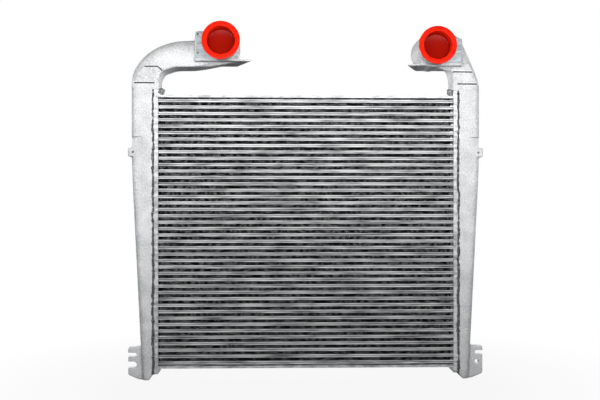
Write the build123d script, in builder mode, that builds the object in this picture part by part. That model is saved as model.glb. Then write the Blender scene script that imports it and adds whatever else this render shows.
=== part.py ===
"""Charge air cooler (intercooler) of a heavy truck, in millimetres.

X runs across the cooler, Y from front to back and Z up. The origin lies under the middle of the whole
cooler, at the level of the two cast feet that it stands on. The hose necks point to the front, at -Y.

Charge air comes in through one neck, flows down that end tank, crosses the flat tubes and leaves through
the other tank and neck. The fins between the tubes carry the heat to the air that blows through the core.

Places on a tank are given as a distance out from the middle of the core, and are the same for both sides
unless the side says otherwise. Places from front to back are given as a distance in front of the middle of
the core.
"""

import math
import os
from dataclasses import dataclass

from build123d import *

# Core: a stack of flat tubes with a corrugated fin in each gap
CORE_WIDTH = 848.0  # between the two header pans
TUBE_COUNT = 42
TUBE_HEIGHT = 8.0
TUBE_DEPTH = 62.0
TUBE_WALL = 0.6
TUBE_NOSE_WALL = 3.2  # thicker at the front and back edges, against stones
TUBE_ENTRY = 2.5  # how far a tube end stands out of the header floor, inside the tank
FIN_HEIGHT = 10.3
FIN_SHEET = 0.6
FIN_WAVE_COUNT = 2
FIN_CREST = 3.0  # width over which a fold is brazed to the tube under it
FIN_END_GAP = 4.0  # from the header floor to the first crest
END_FIN_HEIGHT = 5.5  # the fins above the highest tube and below the lowest are half as high

# Side channels that close the stack at the top and bottom
CHANNEL_HEIGHT = 6.5
CHANNEL_SHEET = 2.0

# Header pans: a floor that holds the tube ends and a rim that is welded to the tank
CASTING_DEPTH = 70.0  # front to back of the pans and tanks
HEADER_FLOOR = 3.0
HEADER_RIM = 10.0  # height of the rim beyond the floor
RIM_SHEET = 3.0
HEADER_OVERHANG = 15.0  # how far a pan reaches past the core, above and below

# End tanks: castings that are open towards the header pan
FOOT_HEIGHT = 18.0  # from the ground to the lower end of the pan
FOOT_WIDTH = 20.0
TANK_WALL = 4.5
TANK_TOP_WIDTH = 64.0
TANK_FOOT_WIDTH = 33.5
TAPER_TOP = 615.0  # height at which the taper ends
TAPER_RADIUS = 2400.0
TANK_CORNER = 14.0
HOOD_HEIGHT = 16.5  # cast hood over the upper end of the header pan
HOOD_REACH = 16.0  # how far the hood reaches in over the pan

# Elbows, whose stations are in the two tables of sides below
ELBOW_DEPTH = 88.0  # front to back
ELBOW_BEVEL = 16.0  # along its long edges, and as a shoulder over the tank

# Hose necks, with the round body behind each
NECK_DIAMETER = 90.0
NECK_REACH = 126.0  # end of the neck, in front of the middle of the core
BODY_BACK = 46.0  # back of the casting, behind the middle of the core
BODY_FLOOR = 12.0  # thickness of the casting behind the neck

# Bolting pad round each neck and the bracket shelf under it
PAD_FACE = 62.0  # in front of the middle of the core
PAD_THICKNESS = 20.0
PAD_RISE = 38.0  # above the neck's axis
PAD_ANGLE = math.radians(53)  # up from level, where the pad's upper edge runs out on the round body
PAD_HOLE = 8.5
PAD_HOLE_DEPTH = 16.0
PAD_HOLE_EDGE = 9.3  # from the outer edge of the pad
SHELF_DROP = 42.0  # from the neck's axis down to the top of the shelf
SHELF_THICKNESS = 5.0
SHELF_TIP_FLAT = 8.0
SHELF_HOLE = 11.0
SHELF_HOLE_INSET = 16.0
RIB_LENGTH = 16.0
RIB_WIDTH = 2.2
RIB_HEIGHT = 1.6
RIB_SETBACK = 18.0  # from the outer edge of the pad

# Lugs at the feet, by which the cooler is held in the truck's frame
LUG_LENGTH = 40.5  # from the tank's foot to the outer edge
LUG_TOP = 96.0
LUG_HEEL = 14.0  # height at which the outer edge turns in to the foot
LUG_TOE = 8.0  # how far out the lug lies on the ground
LUG_SLOPE = 3.0  # fall of its upper edge
LUG_FACE = 22.0  # in front of the middle of the core
LUG_THICKNESS = 20.0
LUG_CORNER = 5.0
LUG_HOLE = 13.0
LUG_HOLE_INSET = 16.5

# Small boss with a threaded hole on the outer side of each tank
BOSS_BOTTOM = 638.5
BOSS_HEIGHT = 26.5
BOSS_OVERHANG = 9.0
BOSS_WIDTH = 30.0
BOSS_DEPTH = 24.0
BOSS_HOLE = 6.5
BOSS_HOLE_DEPTH = 16.0
BOSS_HOLE_INSET = 14.5
FLAT_HEIGHT = 36.0  # flat that is cast on the corner above the boss
FLAT_LEG = 14.0

# Red transport plugs in the necks
PLUG_DIAMETER = 106.0
PLUG_FLANGE = 3.0
PLUG_WALL = 2.0
PLUG_DEPTH = 32.0
PLUG_CLEARANCE = 0.3

# Values that follow from those above
TUBE_PITCH = TUBE_HEIGHT + FIN_HEIGHT
CORE_BOTTOM = FOOT_HEIGHT + HEADER_OVERHANG
FIRST_TUBE = CORE_BOTTOM + CHANNEL_HEIGHT + END_FIN_HEIGHT + TUBE_HEIGHT / 2
LAST_TUBE = FIRST_TUBE + (TUBE_COUNT - 1) * TUBE_PITCH
CORE_TOP = LAST_TUBE + TUBE_HEIGHT / 2 + END_FIN_HEIGHT + CHANNEL_HEIGHT
HEADER_TOP = CORE_TOP + HEADER_OVERHANG
HEADER_FACE = CORE_WIDTH / 2
TANK_INNER = HEADER_FACE + HEADER_FLOOR + HEADER_RIM
TANK_OUTER = TANK_INNER + TANK_TOP_WIDTH
LUG_REACH = TANK_INNER + TANK_FOOT_WIDTH + LUG_LENGTH
ELBOW_START = HEADER_TOP + HOOD_HEIGHT
ELBOW_MIDDLE = (TANK_INNER - HOOD_REACH + TANK_OUTER) / 2
SHOULDER_START = ELBOW_START + (ELBOW_DEPTH - CASTING_DEPTH) / 2 - ELBOW_BEVEL
NECK_RADIUS = NECK_DIAMETER / 2
FRONT_REACH = NECK_REACH + PLUG_FLANGE
CORE_Y = (FRONT_REACH - BODY_BACK) / 2  # puts the origin under the middle of the whole cooler
MIDDLE = Plane.XZ.offset(-CORE_Y)  # middle of the core, seen from the front


@dataclass(frozen=True)
class Station:
    """A place along an elbow. across and up run from 0 at the tank to 1 at the neck's axis."""

    across: float
    up: float
    lean: float  # of the line across the elbow, in degrees from level
    width: float


@dataclass(frozen=True)
class Slot:
    """An open slot in the outer edge of a foot lug: its middle's height, its width and its depth."""

    height: float
    width: float
    depth: float


@dataclass(frozen=True)
class Side:
    """What differs between the two end tanks. sign is -1 on the left and +1 on the right.

    The neck's axis is given from the middle of the core and from the lower end of the elbow. The pad, shelf,
    holes and ribs are given from that axis, and the slots from the ground.
    """

    sign: int
    neck_out: float
    neck_rise: float
    body_radius: float
    pad_outer: float
    pad_inner: float
    shelf_tip: float
    shelf_back: float
    pad_holes: tuple
    ribs: tuple
    slots: tuple
    lug_holes: tuple
    elbow: tuple

    @property
    def neck_height(self):
        """Height of the neck's axis over the ground."""
        return ELBOW_START + self.neck_rise


LEFT = Side(
    sign=-1,
    neck_out=239.5,
    neck_rise=108.2,
    body_radius=47.5,
    pad_outer=77.5,
    pad_inner=47.5,
    shelf_tip=81.0,
    shelf_back=39.0,
    pad_holes=(27.5, -25.0),
    ribs=(),
    slots=(Slot(71.0, 12.0, 24.5), Slot(43.0, 18.0, 24.5)),
    lug_holes=(),
    elbow=(
        Station(0, 0, 0, 80.0),
        Station(0.007, 0.177, 10, 78.5),
        Station(0.045, 0.36, 27, 74.0),
        Station(0.111, 0.538, 45, 72.0),
        Station(0.212, 0.68, 66, 75.0),
        Station(0.339, 0.769, 88, 79.0),
        Station(0.646, 0.824, 84, 82.0),
        Station(1, 1, 78, 90.0),
    ),
)
RIGHT = Side(
    sign=1,
    neck_out=361.0,
    neck_rise=97.7,
    body_radius=54.0,
    pad_outer=90.0,
    pad_inner=26.0,
    shelf_tip=73.0,
    shelf_back=36.0,
    pad_holes=(),
    ribs=(-4.0, -15.8),
    slots=(Slot(74.0, 11.5, 23.0),),
    lug_holes=(47.5,),
    elbow=(
        Station(0, 0, 0, 80.0),
        Station(0.055, 0.258, 12, 71.0),
        Station(0.14, 0.545, 26, 66.0),
        Station(0.2, 0.71, 36, 69.0),
        Station(0.3, 0.862, 48, 74.0),
        Station(1, 1.036, 90, 92.0),
    ),
)


def fin_points(height):
    """Outline of a folded fin seen from the front: along its upper side and back along its lower side."""
    length = CORE_WIDTH - 2 * FIN_END_GAP
    leg = length / (2 * FIN_WAVE_COUNT)
    seat = FIN_CREST / 2
    rise = FIN_SHEET / math.cos(math.atan2(height, leg))
    valley = height - (height - rise) * leg / (leg - seat)
    upper = []
    lower = []
    for fold in range(2 * FIN_WAVE_COUNT + 1):
        x = fold * leg - length / 2
        if fold % 2:
            upper.append((x, height))
            lower.append((x, height - rise))
        else:
            upper.append((x, valley))
            lower += [(max(x - seat, -length / 2), 0), (min(x + seat, length / 2), 0)]
    return upper + lower[::-1]


def across(height):
    """Plane across the tubes at a height: its x runs to the back and its y up."""
    return Plane(origin=(0, CORE_Y, height), x_dir=(0, 1, 0), z_dir=(1, 0, 0))


def tube_with_fin(height, fin_height):
    """A hollow flat tube, with the fin that is brazed on top of it."""
    tube_length = CORE_WIDTH + 2 * (HEADER_FLOOR + TUBE_ENTRY)
    with BuildPart() as tube:
        with BuildSketch(across(height)):
            Rectangle(TUBE_DEPTH, TUBE_HEIGHT)
            bore_depth = TUBE_DEPTH - 2 * TUBE_NOSE_WALL
            Rectangle(bore_depth, TUBE_HEIGHT - 2 * TUBE_WALL, mode=Mode.SUBTRACT)
        extrude(amount=tube_length / 2, both=True)
        fin_plane = Plane(origin=(0, CORE_Y, height + TUBE_HEIGHT / 2), x_dir=(1, 0, 0), z_dir=(0, -1, 0))
        with BuildSketch(fin_plane):
            with BuildLine():
                Polyline(fin_points(fin_height), close=True)
            make_face()
        extrude(amount=TUBE_DEPTH / 2, both=True)
    return tube.part


def side_channel(web_height, direction):
    """A folded channel. Its web lies against the end fin and its flanges point away from the core."""
    with BuildPart() as channel:
        with BuildSketch(across(web_height)):
            with Locations((0, direction * CHANNEL_HEIGHT / 2)):
                Rectangle(TUBE_DEPTH, CHANNEL_HEIGHT)
            with Locations((0, direction * (CHANNEL_HEIGHT / 2 + CHANNEL_SHEET))):
                Rectangle(TUBE_DEPTH - 2 * CHANNEL_SHEET, CHANNEL_HEIGHT, mode=Mode.SUBTRACT)
        extrude(amount=CORE_WIDTH / 2, both=True)
        if direction < 0:
            fin_plane = Plane(origin=(0, CORE_Y, web_height), x_dir=(1, 0, 0), z_dir=(0, -1, 0))
            with BuildSketch(fin_plane):
                with BuildLine():
                    Polyline(fin_points(END_FIN_HEIGHT), close=True)
                make_face()
            extrude(amount=TUBE_DEPTH / 2, both=True)
    return channel.part


def header_pan(side):
    """A pressed pan: a floor with a slot for each tube, and a rim that stands out towards the tank."""
    middle_height = (FOOT_HEIGHT + HEADER_TOP) / 2
    length = HEADER_TOP - FOOT_HEIGHT
    floor = Plane(
        origin=(side.sign * HEADER_FACE, CORE_Y, middle_height),
        x_dir=(0, side.sign, 0),
        z_dir=(side.sign, 0, 0),
    )
    with BuildPart() as pan:
        with BuildSketch(floor):
            Rectangle(CASTING_DEPTH, length)
        extrude(amount=HEADER_FLOOR + HEADER_RIM)
        with BuildSketch(floor.offset(HEADER_FLOOR)):
            Rectangle(CASTING_DEPTH - 2 * RIM_SHEET, length - 2 * RIM_SHEET)
        extrude(amount=HEADER_RIM, mode=Mode.SUBTRACT)
        with BuildSketch(floor):
            with Locations((0, (FIRST_TUBE + LAST_TUBE) / 2 - middle_height)):
                with GridLocations(0, TUBE_PITCH, 1, TUBE_COUNT):
                    Rectangle(TUBE_DEPTH, TUBE_HEIGHT)
        extrude(amount=HEADER_FLOOR, mode=Mode.SUBTRACT)
    return pan.part


def tank_corners(side, wall):
    """Corners of the tank seen from the front, with their radii. With a wall, those of the hollow in it."""
    s = side.sign
    foot_outer = TANK_INNER + TANK_FOOT_WIDTH
    outer = TANK_OUTER - wall
    ceiling = ELBOW_START + wall
    taper_end = ((s * outer, TAPER_TOP), TAPER_RADIUS)
    top = ((s * outer, ceiling), 0)
    if wall:
        floor = FOOT_HEIGHT + wall
        floor_outer = foot_outer - wall + (TANK_OUTER - foot_outer) * floor / TAPER_TOP
        lower = [((s * TANK_INNER, floor), 0), ((s * floor_outer, floor), 0)]
        upper = [((s * TANK_INNER, ceiling), 0)]
    else:
        hood = TANK_INNER - HOOD_REACH
        foot = [(s * TANK_INNER, FOOT_HEIGHT), (s * (foot_outer - FOOT_WIDTH), 0), (s * foot_outer, 0)]
        lower = [(point, 0) for point in foot]
        upper = [((s * hood, ceiling), 0), ((s * hood, HEADER_TOP), 0), ((s * TANK_INNER, HEADER_TOP), 0)]
    corners = lower + [taper_end, top] + upper
    return [point for point, _ in corners], [radius for _, radius in corners]


def elbow_body(side, wall):
    """The elbow between tank and neck, with its long edges bevelled. With a wall, the hollow in it."""
    outer = []
    inner = []
    for station in side.elbow:
        out = ELBOW_MIDDLE + (side.neck_out - ELBOW_MIDDLE) * station.across
        height = ELBOW_START + side.neck_rise * station.up if station.up else SHOULDER_START + wall
        half = station.width / 2 - wall
        reach = half * math.cos(math.radians(station.lean))
        rise = half * math.sin(math.radians(station.lean))
        outer.append((side.sign * (out + reach), height + rise))
        inner.append((side.sign * (out - reach), height - rise))
    with BuildPart() as body:
        with BuildSketch(MIDDLE):
            with BuildLine():
                Polyline(outer + inner[::-1], close=True)
            make_face()
        extrude(amount=ELBOW_DEPTH / 2 - wall, both=True)
        chamfer(body.faces().filter_by(Axis.Y).edges(), ELBOW_BEVEL)
    return body.part


def neck_corners(side, wall):
    """Half of the neck and of the round body behind it, as distances from the axis and from the middle.

    With a wall, half of the plain bore in them.
    """
    neck = NECK_RADIUS - wall
    mouth = [(neck, -NECK_REACH), (0, -NECK_REACH)]
    if wall:
        return [(0, BODY_BACK - BODY_FLOOR), (neck, BODY_BACK - BODY_FLOOR)] + mouth
    body = side.body_radius
    return [(0, BODY_BACK), (body, BODY_BACK), (body, -PAD_FACE), (neck, -PAD_FACE)] + mouth


def lug_corners(side):
    """Corners of the foot lug seen from the front, with their radii. Its inner end lies in the foot."""
    s = side.sign
    foot_outer = TANK_INNER + TANK_FOOT_WIDTH
    inner = foot_outer - FOOT_WIDTH / 2
    points = [
        (s * inner, 0),
        (s * (foot_outer + LUG_TOE), 0),
        (s * LUG_REACH, LUG_HEEL),
        (s * LUG_REACH, LUG_TOP - LUG_SLOPE),
        (s * inner, LUG_TOP),
    ]
    return points, [0, LUG_REACH - foot_outer, LUG_CORNER, LUG_CORNER, 0]


def end_tank(side):
    """One casting: tank, elbow, neck, bolting pad, bracket shelf, side boss and slotted foot lug."""
    s = side.sign
    neck_x = s * side.neck_out
    neck_axis = Axis((neck_x, CORE_Y, side.neck_height), (0, 1, 0))
    neck_plane = Plane(origin=(neck_x, CORE_Y, side.neck_height), x_dir=(1, 0, 0), z_dir=(0, 0, 1))
    shelf_top = side.neck_height - SHELF_DROP
    pad_out = side.neck_out + side.pad_outer
    pad_in = side.neck_out - side.pad_inner
    with BuildPart() as tank:
        corners, radii = tank_corners(side, 0)
        with BuildSketch(MIDDLE):
            with BuildLine():
                FilletPolyline(*corners, radius=radii, close=True)
            make_face()
        extrude(amount=CASTING_DEPTH / 2, both=True)
        long_edges = tank.edges().filter_by(lambda e: e.length > TAPER_TOP / 4)
        fillet(long_edges.filter_by(lambda e: abs(e.center().X) > TANK_INNER + FOOT_WIDTH), TANK_CORNER)

        add(elbow_body(side, 0))
        with BuildSketch(neck_plane):
            with BuildLine():
                Polyline(neck_corners(side, 0), close=True)
            make_face()
        revolve(axis=neck_axis)

        with BuildSketch(MIDDLE.offset(PAD_FACE)):
            with Locations((s * (pad_out + pad_in) / 2, (shelf_top + side.neck_height) / 2)):
                Rectangle(pad_out - pad_in, SHELF_DROP)
            with BuildLine():
                Polyline(
                    (neck_x, side.neck_height),
                    (s * pad_out, side.neck_height),
                    (s * pad_out, side.neck_height + PAD_RISE),
                    (
                        neck_x + s * side.body_radius * math.cos(PAD_ANGLE),
                        side.neck_height + side.body_radius * math.sin(PAD_ANGLE),
                    ),
                    close=True,
                )
            make_face()
        extrude(amount=-PAD_THICKNESS)

        with BuildSketch(Plane.XY.offset(shelf_top)):
            with BuildLine():
                Polyline(
                    (s * pad_out, CORE_Y - PAD_FACE),
                    (s * (side.neck_out - side.shelf_tip), CORE_Y - PAD_FACE),
                    (s * (side.neck_out - side.shelf_tip), CORE_Y - PAD_FACE + SHELF_TIP_FLAT),
                    (s * (side.neck_out - side.shelf_back), CORE_Y + BODY_BACK),
                    (s * pad_out, CORE_Y + BODY_BACK),
                    close=True,
                )
            make_face()
        extrude(amount=-SHELF_THICKNESS)

        corners, radii = tank_corners(side, TANK_WALL)
        with BuildSketch(MIDDLE):
            with BuildLine():
                FilletPolyline(*corners, radius=radii, close=True)
            make_face()
        extrude(amount=CASTING_DEPTH / 2 - TANK_WALL, both=True, mode=Mode.SUBTRACT)
        add(elbow_body(side, TANK_WALL), mode=Mode.SUBTRACT)
        with BuildSketch(neck_plane):
            with BuildLine():
                Polyline(neck_corners(side, TANK_WALL), close=True)
            make_face()
        revolve(axis=neck_axis, mode=Mode.SUBTRACT)

        for down in side.pad_holes:
            hole_out = pad_out - PAD_HOLE_EDGE
            with Locations(MIDDLE.offset(PAD_FACE) * Pos(s * hole_out, side.neck_height + down)):
                Hole(PAD_HOLE / 2, depth=PAD_HOLE_DEPTH)
        for down in side.ribs:
            with BuildSketch(MIDDLE.offset(PAD_FACE)):
                with Locations((s * (pad_out - RIB_SETBACK), side.neck_height + down)):
                    Rectangle(RIB_LENGTH, RIB_WIDTH)
            extrude(amount=RIB_HEIGHT)
        hole_x = s * (side.neck_out - side.shelf_tip + SHELF_HOLE_INSET)
        with Locations((hole_x, CORE_Y - PAD_FACE + SHELF_HOLE_INSET, shelf_top)):
            Hole(SHELF_HOLE / 2, depth=SHELF_THICKNESS)

        points, radii = lug_corners(side)
        with BuildSketch(MIDDLE.offset(LUG_FACE)):
            with BuildLine():
                FilletPolyline(*points, radius=radii, close=True)
            make_face()
            for slot in side.slots:
                with Locations((s * LUG_REACH, slot.height)):
                    SlotOverall(2 * slot.depth, slot.width, mode=Mode.SUBTRACT)
            for height in side.lug_holes:
                with Locations((s * (LUG_REACH - LUG_HOLE_INSET), height)):
                    Circle(LUG_HOLE / 2, mode=Mode.SUBTRACT)
        extrude(amount=-LUG_THICKNESS)

        boss_out = TANK_OUTER + BOSS_OVERHANG - BOSS_WIDTH / 2
        boss_top = BOSS_BOTTOM + BOSS_HEIGHT
        front = MIDDLE.offset(CASTING_DEPTH / 2)
        with BuildSketch(front):
            with Locations((s * boss_out, BOSS_BOTTOM + BOSS_HEIGHT / 2)):
                Rectangle(BOSS_WIDTH, BOSS_HEIGHT)
            with Locations((s * (TANK_OUTER - FLAT_LEG / 2 - TANK_WALL / 2), boss_top + FLAT_HEIGHT / 2)):
                Rectangle(FLAT_LEG + TANK_WALL, FLAT_HEIGHT)
        extrude(amount=-BOSS_DEPTH)
        with BuildSketch(Plane.XY.offset(boss_top)):
            with BuildLine():
                Polyline(
                    (s * (TANK_OUTER - FLAT_LEG), CORE_Y - CASTING_DEPTH / 2),
                    (s * TANK_OUTER, CORE_Y - CASTING_DEPTH / 2),
                    (s * TANK_OUTER, CORE_Y - CASTING_DEPTH / 2 + FLAT_LEG),
                    close=True,
                )
            make_face()
        extrude(amount=FLAT_HEIGHT, mode=Mode.SUBTRACT)
        boss_hole_x = s * (TANK_OUTER + BOSS_OVERHANG - BOSS_HOLE_INSET)
        with Locations(front * Pos(boss_hole_x, BOSS_BOTTOM + BOSS_HEIGHT / 2)):
            Hole(BOSS_HOLE / 2, depth=BOSS_HOLE_DEPTH)
    return tank.part


def neck_plugs():
    """Two alike moulded cups, one pushed into each neck, with a flange over the end of the neck."""
    flange = PLUG_DIAMETER / 2
    mouth = NECK_RADIUS - TANK_WALL - PLUG_CLEARANCE
    seat = -NECK_REACH
    face = seat - PLUG_FLANGE
    floor = seat + PLUG_DEPTH
    with BuildPart() as plugs:
        for side in (LEFT, RIGHT):
            neck_axis = Axis((side.sign * side.neck_out, CORE_Y, side.neck_height), (0, 1, 0))
            with BuildSketch(Plane(origin=neck_axis.position, x_dir=(1, 0, 0), z_dir=(0, 0, 1))):
                with BuildLine():
                    Polyline(
                        (0, floor),
                        (mouth, floor),
                        (mouth, seat),
                        (flange, seat),
                        (flange, face),
                        (mouth - PLUG_WALL, face),
                        (mouth - PLUG_WALL, floor - PLUG_WALL),
                        (0, floor - PLUG_WALL),
                        close=True,
                    )
                make_face()
            revolve(axis=neck_axis)
    return plugs.part


pieces = {
    "left_end_tank": end_tank(LEFT),
    "right_end_tank": end_tank(RIGHT),
    "left_header": header_pan(LEFT),
    "right_header": header_pan(RIGHT),
    "neck_plugs": neck_plugs(),
    "bottom_side_channel": side_channel(CORE_BOTTOM + CHANNEL_HEIGHT, -1),
    "top_side_channel": side_channel(CORE_TOP - CHANNEL_HEIGHT, 1),
}
full_tube = tube_with_fin(FIRST_TUBE, FIN_HEIGHT)
for index in range(TUBE_COUNT - 1):
    pieces[f"tube_{index + 1:02d}"] = Pos(0, 0, index * TUBE_PITCH) * full_tube
pieces[f"tube_{TUBE_COUNT:02d}"] = tube_with_fin(LAST_TUBE, END_FIN_HEIGHT)

os.makedirs("parts", exist_ok=True)
for name, piece in pieces.items():
    piece.label = name
    export_step(piece, f"parts/{name}.step")
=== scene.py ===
"""Looks of a heavy truck's charge air cooler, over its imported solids.

Sizes are in millimetres and become metres when a mesh is made. X runs across the cooler, Y from front to back
and Z up. The core's middle lies at Y = CORE_Y. A place on an end tank is given as a distance out from the middle
of the core, and counts the same way on both sides.

The castings are drawn as overlapping closed shells that are remeshed into one skin, which gives the soft
fillets of a sand casting, and are then bored and slotted as they would be on a machine.
"""

from __future__ import annotations

import logging
import math
from dataclasses import dataclass
from enum import Enum

import bpy
import numpy as np
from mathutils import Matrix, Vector

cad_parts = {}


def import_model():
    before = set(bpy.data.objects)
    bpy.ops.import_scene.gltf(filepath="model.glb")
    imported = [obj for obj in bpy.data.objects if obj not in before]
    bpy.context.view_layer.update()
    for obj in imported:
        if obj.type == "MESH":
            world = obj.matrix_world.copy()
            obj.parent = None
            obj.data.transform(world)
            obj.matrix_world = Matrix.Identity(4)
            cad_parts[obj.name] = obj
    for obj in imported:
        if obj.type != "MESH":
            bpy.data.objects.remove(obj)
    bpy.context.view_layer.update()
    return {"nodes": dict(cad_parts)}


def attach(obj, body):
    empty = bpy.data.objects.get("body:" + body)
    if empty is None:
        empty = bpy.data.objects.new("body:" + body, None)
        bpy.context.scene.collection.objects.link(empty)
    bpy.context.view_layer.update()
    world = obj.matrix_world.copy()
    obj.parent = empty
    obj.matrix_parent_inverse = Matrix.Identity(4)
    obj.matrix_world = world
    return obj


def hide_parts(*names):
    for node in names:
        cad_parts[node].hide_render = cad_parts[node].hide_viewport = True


LOG = logging.getLogger("charge_air_cooler")
MM = 0.001
CORE_Y = 41.5
FIRST_TUBE = 49.0
TUBE_PITCH = 18.3
TUBE_COUNT = 42
SHARP_ANGLE = 38.0  # edges that bend by more degrees than this are drawn sharp


class Side(Enum):
    """Left and right as the camera sees them. The value is the direction of X that leads outwards."""

    LEFT = -1
    RIGHT = 1

    @property
    def title(self) -> str:
        """Lower-case name for pieces."""
        return self.name.lower()


# Geometry


@dataclass
class Shell:
    """Closed surface as points in millimetres and groups of faces that have the same number of corners.

    Each group has its own material slot. Groups without one take the first slot.
    """

    points: np.ndarray
    faces: list[np.ndarray]
    slots: tuple[int, ...] = ()

    def volume(self) -> float:
        """Signed volume: the sum over fans of triangles of the box product of their corners, over six."""
        total = 0.0
        for group in self.faces:
            corners = self.points[group]
            first = corners[:, :1]
            pair = np.cross(corners[:, 1:-1], corners[:, 2:])
            total += float(np.einsum("ijk,ijk->", np.broadcast_to(first, pair.shape), pair))
        return total / 6

    def outward(self) -> Shell:
        """The same surface with its faces turned to point out."""
        if self.volume() >= 0:
            return self
        return Shell(self.points, [group[:, ::-1] for group in self.faces], self.slots)


def merge_shells(shells: list[Shell]) -> tuple[np.ndarray, list[np.ndarray], list[np.ndarray]]:
    """Stack shells into one set of points.

    Args:
        shells: closed surfaces, in any order.

    Returns:
        All points, the groups of faces with shifted numbers, and one array of material slots for each group.
    """
    points, faces, slots, start = [], [], [], 0
    for shell in shells:
        given = shell.slots or (0,) * len(shell.faces)
        for group, slot in zip(shell.outward().faces, given):
            faces.append(group + start)
            slots.append(np.full(len(group), slot, dtype=np.int32))
        points.append(shell.points)
        start += len(shell.points)
    return np.concatenate(points), faces, slots


def make_mesh(name: str, shells: list[Shell]) -> bpy.types.Mesh:
    """Write shells into a new mesh, in metres."""
    points, faces, slots = merge_shells(shells)
    corners = np.concatenate([group.ravel() for group in faces]).astype(np.int32)
    widths = np.concatenate([np.full(len(group), group.shape[1]) for group in faces])
    starts = np.concatenate([[0], np.cumsum(widths)[:-1]]).astype(np.int32)
    mesh = bpy.data.meshes.new(name)
    mesh.vertices.add(len(points))
    mesh.vertices.foreach_set("co", (points * MM).astype(np.float32).ravel())
    mesh.loops.add(len(corners))
    mesh.loops.foreach_set("vertex_index", corners)
    mesh.polygons.add(len(starts))
    mesh.polygons.foreach_set("loop_start", starts)
    mesh.polygons.foreach_set("material_index", np.concatenate(slots))
    mesh.update(calc_edges=True)
    mesh.validate()
    return mesh


def stack_rings(x: np.ndarray, y: np.ndarray, z: np.ndarray) -> np.ndarray:
    """Array of shape (rings, points, 3) from coordinates that are each spread to (rings, points)."""
    return np.stack(np.broadcast_arrays(x, y, z), axis=-1)


def rings_to_shell(rings: np.ndarray, slots: tuple[int, int] = (0, 0)) -> Shell:
    """Skin a stack of closed rings, each with an even number of points, and close both ends with strips.

    A face joins point j and j + 1 of one ring to the same two of the next. An end strip joins j and j + 1 to
    the points that mirror them, counted back from the last.

    Args:
        rings: array of shape (rings, points, 3).
        slots: material slots of the skin and of the two ends.
    """
    count, around = rings.shape[:2]
    index = np.arange(count * around).reshape(count, around)
    lower, upper = index[:-1], index[1:]
    sides = np.stack([lower, np.roll(lower, -1, 1), np.roll(upper, -1, 1), upper], axis=-1).reshape(-1, 4)
    j = np.arange(around // 2 - 1)
    strip = np.stack([j + 1, j, around - 1 - j, around - 2 - j], axis=-1)
    caps = np.concatenate([index[0][strip], index[-1][strip][:, ::-1]])
    return Shell(rings.reshape(-1, 3), [sides, caps], slots)


def closed_loop_shell(rings: np.ndarray) -> Shell:
    """Skin a ring of rings, as of a bead that runs round and meets itself."""
    count, around = rings.shape[:2]
    index = np.arange(count * around).reshape(count, around)
    after = np.roll(index, -1, 0)
    sides = np.stack([index, np.roll(index, -1, 1), np.roll(after, -1, 1), after], axis=-1).reshape(-1, 4)
    return Shell(rings.reshape(-1, 3), [sides])


def prism(outline: np.ndarray, axis: int, near: float, far: float) -> Shell:
    """Straight prism over an outline.

    Args:
        outline: (n, 2) points in the two other axes, in X, Y, Z order.
        axis: 0, 1 or 2, the direction of the prism.
        near: where it starts along that axis.
        far: where it ends.
    """
    count = len(outline)
    ends = [np.insert(outline, axis, level, axis=1) for level in (near, far)]
    j = np.arange(count)
    after = (j + 1) % count
    sides = np.stack([j, after, after + count, j + count], axis=-1)
    return Shell(np.concatenate(ends), [sides, j[None, ::-1], (j + count)[None]])


def circle(centre: tuple[float, float], radius: float, steps: int = 48) -> np.ndarray:
    """Points on a circle: the centre plus the radius times cosine and sine of evenly spaced angles."""
    angle = np.arange(steps) / steps * 2 * math.pi
    return np.stack([centre[0] + radius * np.cos(angle), centre[1] + radius * np.sin(angle)], axis=-1)


def rounded_outline(corners: list[tuple[float, float, float]], steps: int = 8) -> np.ndarray:
    """Polygon whose corners are arcs that touch both of their sides.

    Args:
        corners: (x, y, radius) of each corner, in order.
        steps: points on each arc.

    Returns:
        The outline's points: at a corner that turns by t, the arc's centre lies radius over cos(t / 2) away
        from it along the line that halves it.
    """
    places = np.array([corner[:2] for corner in corners], dtype=float)
    radii = np.array([max(corner[2], 1e-3) for corner in corners])
    before = np.roll(places, 1, 0) - places
    after = np.roll(places, -1, 0) - places
    before /= np.linalg.norm(before, axis=1, keepdims=True)
    after /= np.linalg.norm(after, axis=1, keepdims=True)
    half = np.arccos(np.clip(np.sum(before * after, axis=1), -1, 1)) / 2
    middle = before + after
    middle /= np.linalg.norm(middle, axis=1, keepdims=True)
    centre = places + middle * (radii / np.sin(half))[:, None]
    start = places + before * (radii / np.tan(half))[:, None] - centre
    turn = (math.pi - 2 * half) * np.sign(before[:, 1] * after[:, 0] - before[:, 0] * after[:, 1])
    angle = turn[:, None] * np.linspace(0, 1, steps)[None]
    cos, sin = np.cos(angle), np.sin(angle)
    x = centre[:, :1] + start[:, :1] * cos - start[:, 1:] * sin
    y = centre[:, 1:] + start[:, :1] * sin + start[:, 1:] * cos
    return np.stack([x, y], axis=-1).reshape(-1, 2)


def rounded_sections(half_width: np.ndarray, half_depth: np.ndarray, radii: np.ndarray, steps: int) -> np.ndarray:
    """Rectangles with rounded corners, one for each row.

    Each corner's arc has its centre one radius inside both sides, and starts a quarter turn after the last.

    Args:
        half_width: (m,) half sizes along the section's first axis.
        half_depth: (m,) half sizes along its second axis.
        radii: (m, 4) radii of the corners, in the order ++, -+, --, +-.
        steps: points on each corner.

    Returns:
        Array of shape (m, 4 * steps, 2).
    """
    sign = np.array([[1, 1], [-1, 1], [-1, -1], [1, -1]], dtype=float)
    quarter = np.arange(4)[:, None] * math.pi / 2 + np.linspace(0, math.pi / 2, steps)[None]
    x = sign[:, 0][None] * (half_width[:, None] - radii)
    y = sign[:, 1][None] * (half_depth[:, None] - radii)
    x = x[..., None] + radii[..., None] * np.cos(quarter)[None]
    y = y[..., None] + radii[..., None] * np.sin(quarter)[None]
    return np.stack([x, y], axis=-1).reshape(len(half_width), -1, 2)


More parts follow.
